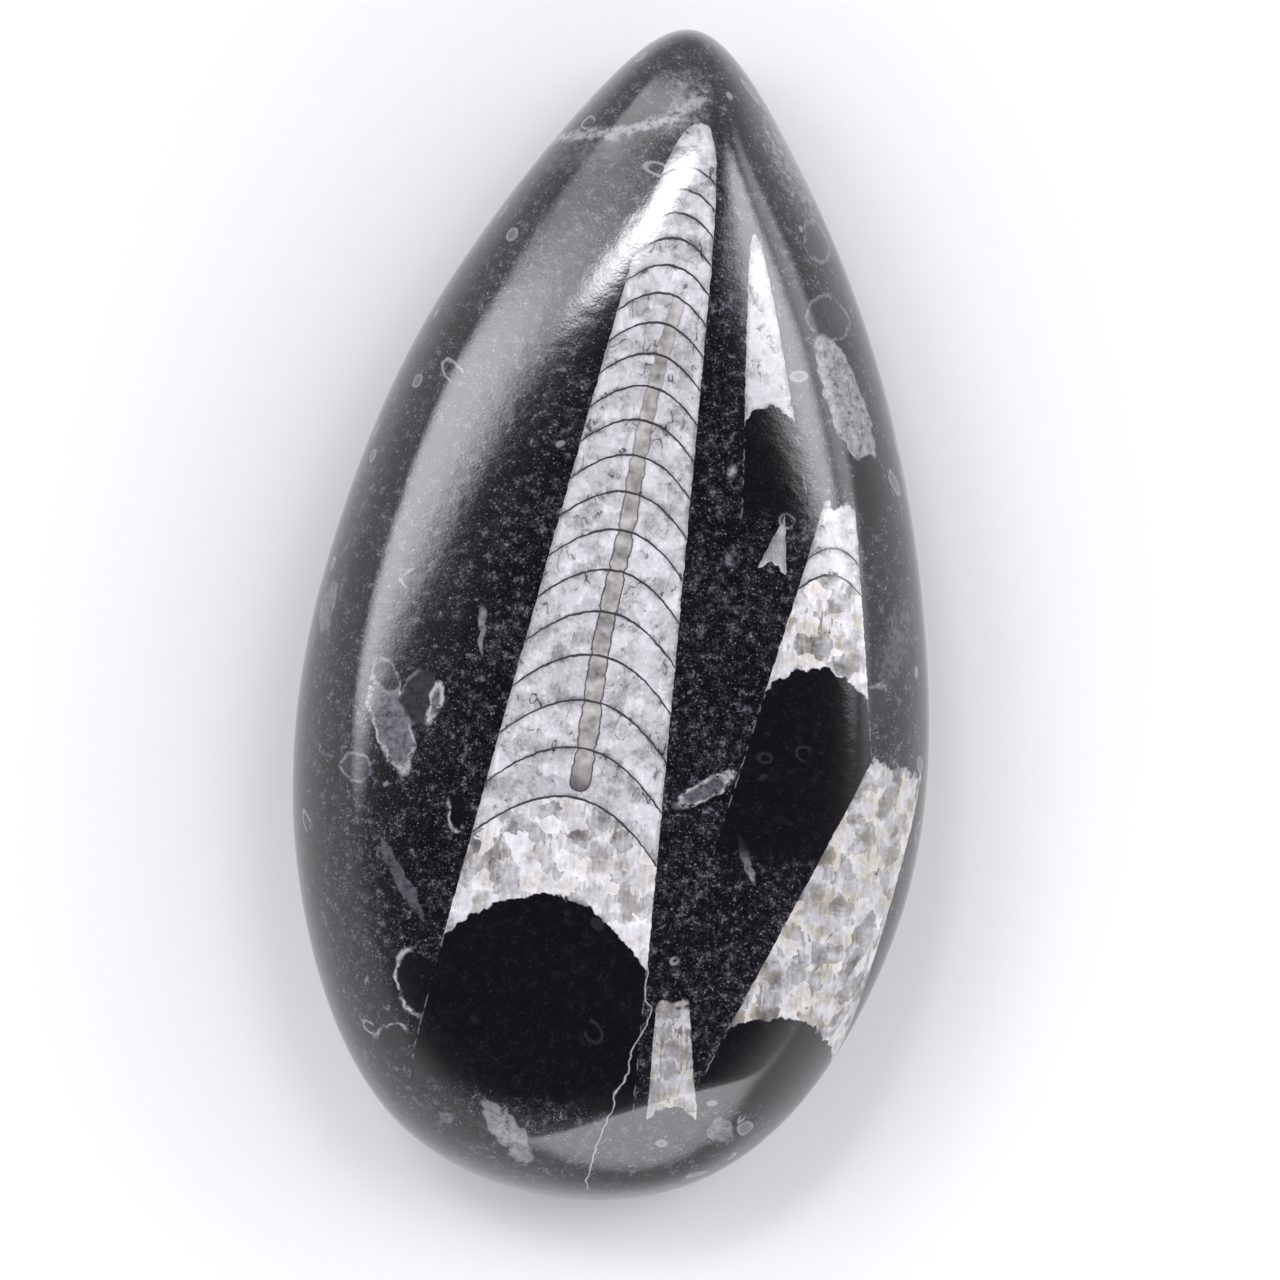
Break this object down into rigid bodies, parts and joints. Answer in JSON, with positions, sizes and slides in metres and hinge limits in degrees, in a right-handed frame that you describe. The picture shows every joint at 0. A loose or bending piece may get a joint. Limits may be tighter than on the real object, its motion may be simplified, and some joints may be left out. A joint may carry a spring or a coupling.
{
  "type": "orthoceras fossil",
  "caption": "Polished teardrop of black fossil limestone that shows straight, chambered orthoceras shells in section; it lies on a flat back.",
  "frame": {"origin": "the middle of the flat back that the stone lies on", "axes": "+Y runs to the point of the teardrop, +X to the right as the fossil face is seen, +Z out of the fossil face"},
  "size_m": [0.0845, 0.1563, 0.0359],
  "materials": {
    "fossil_stone": "polished black limestone with pale grey calcite fossils"
  },
  "bodies": {
    "root": {"fossil_stone": "fossil_stone"}
  },
  "joints": []
}
